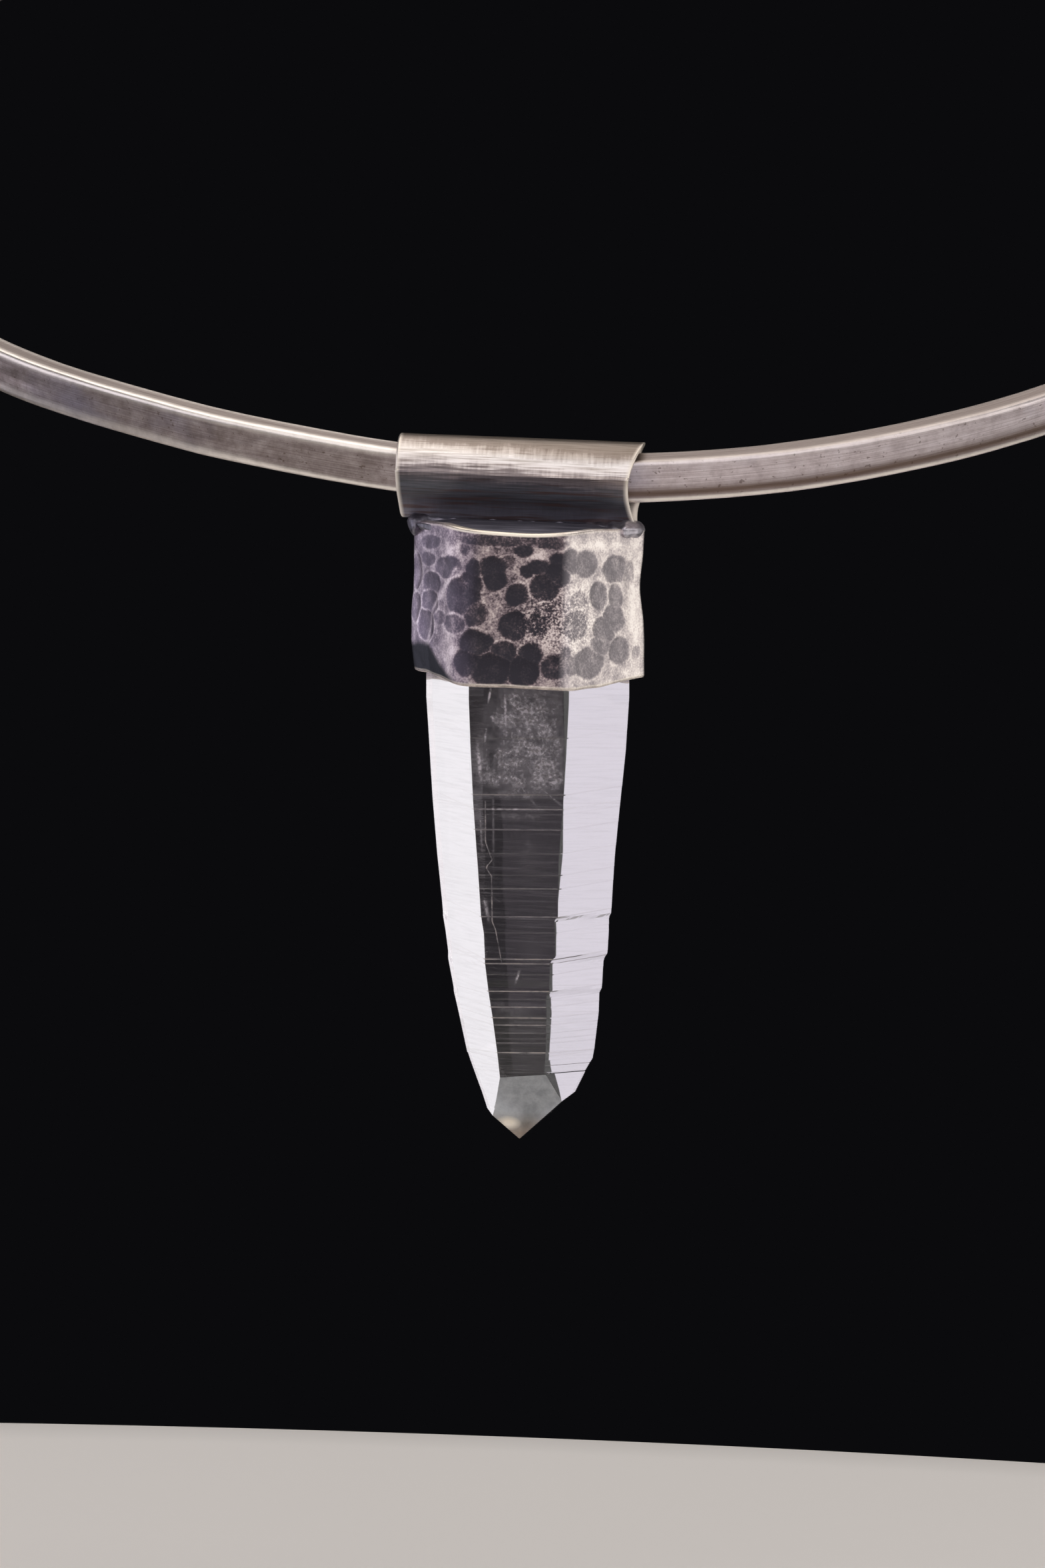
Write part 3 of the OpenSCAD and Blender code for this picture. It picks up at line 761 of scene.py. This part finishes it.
solder_mesh = grid_mesh("solder", solder_points + bore_middle, round_columns=True)
weld(solder_mesh)

# Silver solder as it flowed: a pitted skin, dull on the left and fresh and pale on the right.
silver_solder, node, shader, place_in = new_material("silver solder as it flowed")
pits = node("TexNoise", {"Vector": place_in, "Scale": 1600, "Detail": 4})
dull = node("ValToRGB", [pits], stops={0.35: "#5c5b66", 0.65: "#8a8692"})
fresh = node("ValToRGB", [pits], stops={0.35: "#a29ea7", 0.65: "#cdc8cf"})
across_at = node("SeparateXYZ", [place_in], "X")
rightward = node("MapRange", [across_at, 5 * MM, 9 * MM])
tone = node("MixRGB", [rightward, dull, fresh])
dent = node("Bump", {"Height": pits, "Strength": 0.5, "Distance": 0.1 * MM})
feed(shader, {"Base Color": tone, "Metallic": 1, "Roughness": 0.4, "Normal": dent})

solder = place("solder", solder_mesh, silver_solder)
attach(solder, "pendant")
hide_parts("cap_and_bail")

# The stone. A natural crystal of clear quartz, six-sided, that grew in steps: it tapers by a small ledge at
# each growth line, and ends in its own rhombohedral faces. It is set tip down, cemented into the cap.
# The taper: depth, then changes of the front, left and right faces, then shift to the right, in
# millimetres
TAPER = np.array([
    (6.5, 0, 0, 0, 0), (19.7, 0, 0, 0, 0), (24.3, -0.1, -0.3, -0.6, 0), (28.6, -0.4, -0.45, -1.2, -0.1),
    (33.9, -1.2, -0.6, -1.4, -0.15), (37.6, -1.5, -0.95, -1.7, -0.1), (38.8, -1.6, -0.95, -1.7, -0.08),
    (39.1, -1.95, -0.92, -1.66, -0.2), (40.3, -2.1, -0.9, -1.7, -0.1), (42.3, -2.2, -1.2, -1.7, -0.02),
    (42.9, -2.65, -1.35, -1.66, -0.2), (45.4, -3, -1.7, -1.78, -0.05), (45.8, -3.35, -1.75, -1.78, -0.16),
    (47.6, -3.6, -2, -1.95, 0), (50.9, -4.1, -2.7, -2.5, 0.15), (56, -5.05, -4.05, -3.45, 0.2),
    (60, -5.8, -5.1, -4.2, -0.3),
])
# The rows of the taper that hold for the back faces, which have no ledges
EVEN = [0, 1, 2, 3, 4, 5, 8, 13, 14, 15, 16]
# Depths of the growth lines in millimetres, and how much dirt and etching they hold
GROWTH, HELD = np.array([
    (23, 0.3), (28, 0.55), (29.3, 1), (29.75, 0.3), (31.1, 0.45), (33.2, 0.25), (35.1, 0.2), (36.3, 0.35),
    (38.8, 0.75), (40.2, 0.15), (42.55, 0.9), (42.95, 0.9), (43.9, 0.2), (45.4, 0.9), (46.1, 0.15),
    (46.8, 0.85), (47.75, 0.9), (48.4, 0.65), (49.1, 0.3), (49.6, 0.15), (50, 0.35), (50.85, 1), (52, 0.4),
    (52.6, 0.8),
]).T
LEDGE = 0.09
# The share of the taper that falls at the growth lines: front, right, three back faces, left
STEPPED = np.array([0.2, 0.2, 0, 0, 0, 0.05])
# Towards the tip the stone is thinner from front to back than it is wide, by this at these depths
THINNED = [(33, 0), (40, 0.4), (45, 0.65), (50.9, 0.8), (60, 0.8)]
THINNED_FACES = np.array([-1, -0.5, 0.5, -1.2, 0.5, -0.5])
# On the side faces the growth lines climb away from the front face, by these heights at the six corners,
# and they level out in the last 8 mm before this depth
LEVEL_AT = 51
CLIMB = np.array([0, 0, 0.5, 0.3, 0.6, 1.3])
# The tip. The three back faces end in fine stairs, 0.12 mm apart: depth, then each face's distance from
# the axis
STAIRS = np.array([
    (50.4, 6.2, 8.6, 5.45), (51.8, 5.08, 7.4, 4.82), (53.2, 4, 6.2, 4.05), (54.6, 2.93, 5, 3.25),
    (56, 1.85, 3.8, 2.6), (58.8, -0.3, 1.44, 1.2),
])
PITCH = 0.12
# Four flat faces cut the rest: bearing, slope of the normal below level, depth on the axis
TIP_FACES = [(-2, 50, 58.2), (180, 45, 59.45), (-60, 57, 58.75), (-87.5, 38.8, 59.05)]
STONE_START, STAIR_FROM, STONE_END = 6.5, 51.2, 58.74
RIGHT_FROM, RIGHT_OUT = 52.7, 4.25
COLUMNS_ON = np.array([100, 16, 16, 16, 16, 16])
ledges = np.array([-1, 0, 1])[:, None] * LEDGE + GROWTH
treads = np.arange(STAIR_FROM, STONE_END, PITCH)
stone_rows = np.unique(np.round(np.concatenate([
    np.arange(STONE_START, 18.5, 1.0), np.arange(18.5, 30, 0.1), np.arange(30, STAIR_FROM, 0.25),
    ledges.ravel(), treads - 0.002, treads + 0.002, [STONE_END]]), 4))[:, None]


def taper_at(depth, taper=TAPER):
    """Distances of the six faces from the stone's axis at these depths, in millimetres."""
    front, left, right = (np.interp(depth, taper[:, 0], taper[:, k]) for k in (1, 2, 3))
    return face_distances(FRONT_W / MM + front, LEFT_W / MM + left, RIGHT_W / MM + right)


edges = np.concatenate([[STONE_START], GROWTH, [60.0]])
between = np.clip(np.searchsorted(GROWTH, stone_rows), 0, len(GROWTH))
rest_at = (edges[between] + edges[between + 1]) / 2
rest_at = np.where((between == 0) | (between == len(GROWTH)), stone_rows, rest_at)
column_face = np.repeat(np.arange(6), COLUMNS_ON)
next_face = (column_face + 1) % 6
share = np.concatenate([np.arange(n) / n for n in COLUMNS_ON])
climb = CLIMB[column_face] + (CLIMB[next_face] - CLIMB[column_face]) * share
climb = climb * np.clip((LEVEL_AT - stone_rows) / 8, 0, 1)
at = stone_rows - climb
faces_at = taper_at(at) + STEPPED * (taper_at(rest_at - climb) - taper_at(at))
faces_at[..., 2:5] = taper_at(at, TAPER[EVEN])[..., 2:5]
landing = STAIR_FROM + (np.floor((stone_rows - STAIR_FROM) / PITCH) + 0.5) * PITCH
faces_at += np.interp(at, *np.transpose(THINNED))[..., None] * THINNED_FACES
for face in (2, 3, 4):
    stair = np.where(stone_rows < STAIR_FROM, 99.0, np.interp(landing, STAIRS[:, 0], STAIRS[:, face - 1]))
    faces_at[..., face] = np.minimum(faces_at[..., face], stair)
# Past its last growth line the right face runs straight down to the cuts of the tip
faces_at[..., 1] = np.where(stone_rows > RIGHT_FROM, RIGHT_OUT, faces_at[..., 1])
# No face may stand out past the edge where its two neighbours would meet
for face in (0, 1, 0, 3, 4):
    neighbours = faces_at[..., face - 1] + faces_at[..., (face + 1) % 6]
    faces_at[..., face] = np.minimum(faces_at[..., face], neighbours - 0.02)
corners = hexagon_corners(faces_at)
column = np.arange(len(column_face))
here, after = corners[:, column, column_face], corners[:, column, next_face]
outline = here + (after - here) * share[:, None]
outline[..., 0] += np.interp(at, TAPER[:, 0], TAPER[:, 4])
stone_points = np.concatenate([outline, -at[..., None]], -1) * MM

# Veils of mist behind the front face: across, depth, half width, half height, density
VEILS = [
    (1.2, 20.9, 2.5, 2, 0.95), (-0.6, 21, 1.9, 1.9, 0.5), (-0.6, 24.4, 2.3, 1.8, 0.9),
    (1.8, 24.6, 2, 2, 0.8), (0.3, 26.2, 2.8, 1.3, 0.7), (-3.2, 25.4, 0.6, 2, 0.3),
    (3.3, 26.5, 0.8, 1, 0.85), (2.8, 23, 1.3, 1.3, 0.8), (-2.9, 26.9, 1.2, 0.4, 0.6),
    (0, 28, 3.4, 0.3, 0.5), (1.2, 33.4, 1.4, 2, 0.12), (0.2, 29.9, 2, 0.3, 0.3),
    (-0.6, 47.1, 1.4, 0.5, 0.5), (1.4, 42.1, 1.2, 1.6, 0.12),
]
# Bright needles and chips: across, depth, half width, half height, slant, strength
NEEDLES = [
    (-0.95, 20.6, 0.13, 1.5, -0.03, 1), (-3.3, 25.2, 0.2, 1.5, -0.1, 0.8),
    (-2.35, 19.3, 0.09, 0.6, 0.2, 1), (-2.75, 22.9, 0.12, 0.7, 0.1, 0.6), (-2, 21.4, 0.2, 0.35, -0.5, 0.8),
    (0.7, 27.7, 0.1, 1.4, -0.75, 0.35), (2.7, 27.9, 0.1, 1.3, -1.2, 0.4),
    (-0.1, 44.1, 0.1, 0.45, 0.35, 0.6), (-2.75, 38.3, 0.14, 0.7, -0.2, 0.6),
    (3.75, 24, 0.3, 0.35, 0.6, 0.5), (-2.9, 37.5, 0.2, 0.13, 0, 0.5), (0.3, 25.9, 0.35, 0.12, 0.5, 0.5),
    (-2.1, 30.4, 0.09, 3.4, 0, 0.22), (-3.2, 31, 0.09, 1.8, -0.05, 0.35), (-0.3, 29.3, 3.4, 0.07, 0, 0.7),
]
# The crack that runs down from the left: across and depth of its bends
CRACK = [(-2.8, 32.2), (-2.2, 33.8), (-2.8, 34.4), (-2.3, 35.2), (-2.3, 39.2), (-2.0, 39.9), (-1.6, 42.2),
         (-1.35, 44), (-1.3, 50.2)]
x, s = outline[..., 0], at
in_front = (column_face == 0)[None] & (s < 52)
line = np.interp(stone_rows, np.sort(ledges.ravel()), np.stack([0 * HELD, HELD, 0 * HELD], 1).ravel())
line = line * np.clip(0.8 + 0.5 * cloud((share + column_face) * 3.5, 7 * stone_rows, 21, 21), 0, 1)
crack_across, crack_down = np.transpose(CRACK)
beside_crack = (x - np.interp(s, crack_down, crack_across)) * (1 + 0.7 * np.clip((s - 39) / 4, 0, 1))
stone_fields = {"veil": np.clip(spots(x, s, VEILS) * in_front, 0, 1),
                "needle": np.clip(spots(x, s, NEEDLES) * in_front, 0, 1),
                "growth line": line * np.where(in_front, 1, 0.14),
                "beside crack": np.where(in_front & (s > 28.5) & (s < 43.2), beside_crack, 9)}
stone_mesh = grid_mesh("quartz", stone_points, round_columns=True, flip=True, flat=True,
                       fields=stone_fields)
form = bmesh.new()
form.from_mesh(stone_mesh)
bmesh.ops.holes_fill(form, edges=[e for e in form.edges if e.is_boundary], sides=0)
for bearing, slope, on_axis in TIP_FACES:
    b, c = math.radians(bearing), math.radians(slope)
    cut_normal = Vector((math.cos(b) * math.cos(c), math.sin(b) * math.cos(c), -math.sin(c)))
    cut = bmesh.ops.bisect_plane(form, geom=form.verts[:] + form.edges[:] + form.faces[:], dist=1e-7,
                                 plane_co=(0, 0, -on_axis * MM), plane_no=cut_normal, clear_outer=True)
    bmesh.ops.edgeloop_fill(form, edges=[e for e in cut["geom_cut"] if isinstance(e, bmesh.types.BMEdge)])
bmesh.ops.recalc_face_normals(form, faces=form.faces)
# The frosted face is the large one that looks down and to the front
frosted = form.faces.layers.float.new("frosted")
for face in form.faces:
    face[frosted] = face.calc_area() > 0.3 * MM ** 2 and face.normal.z < -0.5 and face.normal.y < -0.1
form.to_mesh(stone_mesh)
form.free()
co = np.empty(len(stone_mesh.vertices) * 3, np.float32)
stone_mesh.vertices.foreach_get("co", co)
co = as_stone(co.reshape(-1, 3).astype(float)).reshape(-1)
stone_mesh.vertices.foreach_set("co", co.astype(np.float32))
stone_mesh.update()

# Clear quartz. Its growth lines are etched and hold brown dirt, and mist, needles and a crack lie in it.
# They look pale on the dark front face and grey on the bright side faces. The front face of the tip is
# frosted.
clear_quartz, node, shader, centred = new_material("clear natural quartz with growth lines", bore_middle)
veil_of, line_of, crack_of, needle_of, tip_of = (
    node("Attribute", out="Fac", attribute_name=name)
    for name in ("veil", "growth line", "beside crack", "needle", "frosted"))
# Mist is wisps of 0.9 mm in billows of 2.4 mm, with grains of 0.3 mm. Striae lie 0.2 mm apart across the
# stone
wisps = node("TexNoise", {"Vector": centred, "Scale": 1100, "Detail": 8, "Roughness": 0.78,
                          "Distortion": 0.3})
thick = node("MapRange", [wisps, 0.3, 0.82])
grains = node("TexNoise", {"Vector": centred, "Scale": 3600, "Detail": 4})
grainy = node("MapRange", [grains, 0.36, 0.7, 0.5, 1.45])
mist = node("Math", [thick, veil_of], operation="MULTIPLY")
mist = node("Math", [mist, grainy], operation="MULTIPLY")
billows = node("TexNoise", {"Vector": centred, "Scale": 420, "Detail": 3, "Distortion": 1.2})
billowed = node("MapRange", [billows, 0.36, 0.6, 0.42, 1.4])
mist = node("Math", [mist, billowed], operation="MULTIPLY", use_clamp=True)
drawn_out = node("Mapping", {"Vector": centred, "Scale": (160, 160, 5200)})
striae = node("TexNoise", {"Vector": drawn_out, "Scale": 1, "Detail": 3})
faint = node("MapRange", [striae, 0.5, 0.75, 0, 0.1])
uneven = node("MapRange", [wisps, 0.3, 0.6, 0.45, 1])
etched = node("Math", [line_of, uneven], operation="MULTIPLY")
off_crack = node("Math", [crack_of], operation="ABSOLUTE")
crack = node("MapRange", [off_crack, 0.02, 0.09, 0.6, 0])
broken = node("MapRange", [wisps, 0.42, 0.6, 0.15, 1])
crack = node("Math", [crack, broken], operation="MULTIPLY")
held = node("Math", [etched, crack], operation="MAXIMUM")
needles = node("Math", [needle_of, grainy], operation="MULTIPLY", use_clamp=True)
frost = node("MapRange", [wisps, 0.3, 0.7, 0.62, 0.85])
frost = node("Math", [frost, tip_of], operation="MULTIPLY")
total = mist
for more in (faint, frost, held, needles):
    total = node("Math", [total, more], operation="MAXIMUM")
# The last millimetre of the tip is brown, and a cream spot at its left is a painted glint
up_at = node("SeparateXYZ", [centred], "Z")
end = node("MapRange", [up_at, -58.2 * MM, -56.2 * MM])
grey = node("ValToRGB", [end], stops={0: "#958270", 0.45: "#9b938a", 1: "#cacfd2"})
from_tip_glint = node("Mapping", {"Vector": centred, "Scale": (0.6, 0, 1),
                              "Location": (-0.69 * MM, 0, 57.3 * MM)})
tip_glint = node("VectorMath", [from_tip_glint], "Value", operation="LENGTH")
tip_glint = node("MapRange", [tip_glint, 0.2 * MM, 0.7 * MM, 1, 0])
etching = node("ValToRGB", [wisps], stops={0.38: "#c9cccf", 0.62: "#ffffff"})
etched_tip = node("MixRGB", [0.8, grey, etching], blend_type="MULTIPLY")
cream = node("MixRGB", [tip_glint, etched_tip, "#fff3dc"])
tinted = node("ValToRGB", [grains], stops={0.36: "#b3a294", 0.48: "#cdc8cf", 0.64: "#efecf4"})
misty = node("MixRGB", [mist, "#f8f6fb", tinted])
tipped = node("MixRGB", [tip_of, misty, cream])
dirty = node("MixRGB", [held, tipped, "#cdb9a6"])
bright = node("MixRGB", [needles, dirty, "#fbf7ff"])
clear = node("MapRange", [total, 0, 1, 1, 0])
rough = node("MapRange", [total, 0, 1, 0.02, 0.5])
feed(shader, {"Base Color": bright, "Transmission Weight": clear, "Roughness": rough, "IOR": 1.544})

quartz = place("quartz", stone_mesh, clear_quartz)
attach(quartz, "pendant")
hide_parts("crystal")

# Four more soft boxes stand behind and beside the stone and are flagged off the metal. Each fills a part
# of the side face that bends the view towards it. Between them the dark room shows through the front
# face, which gets a weaker front box. The metal's boxes are flagged off the stone.
lit_stone = bpy.data.collections.new("lit by the rear boxes")
lit_stone.objects.link(quartz)
soft_box("stone_left_box", (-0.71, 0.7, 0.0), 0.8, (0.68, 1.1), 0.4, "#fffafc", lit_stone)
soft_box("stone_right_box", (0.65, 0.76, 0.0), 0.8, (0.68, 1.1), 0.99, "#fffefd", lit_stone)
soft_box("stone_far_left_box", (-0.8, 0.5, 0.1), 0.8, (0.5, 0.7), 0.34, "#f6f0ff", lit_stone)
soft_box("stone_far_right_box", (0.94, 0.25, 0.05), 0.8, (0.5, 0.7), 1.1, "#fdfaf8", lit_stone)
soft_box("stone_front_box", (0.05, -1.0, 0.3), 1.3, (1.5, 2.1), 0.45, "#fff1fc", lit_stone)
shaded_stone = bpy.data.collections.new("kept out of the metal's boxes")
shaded_stone.objects.link(quartz)
shaded_stone.collection_objects[0].light_linking.link_state = "EXCLUDE"
for box in (front_box, left_box, right_box):
    box.light_linking.receiver_collection = shaded_stone
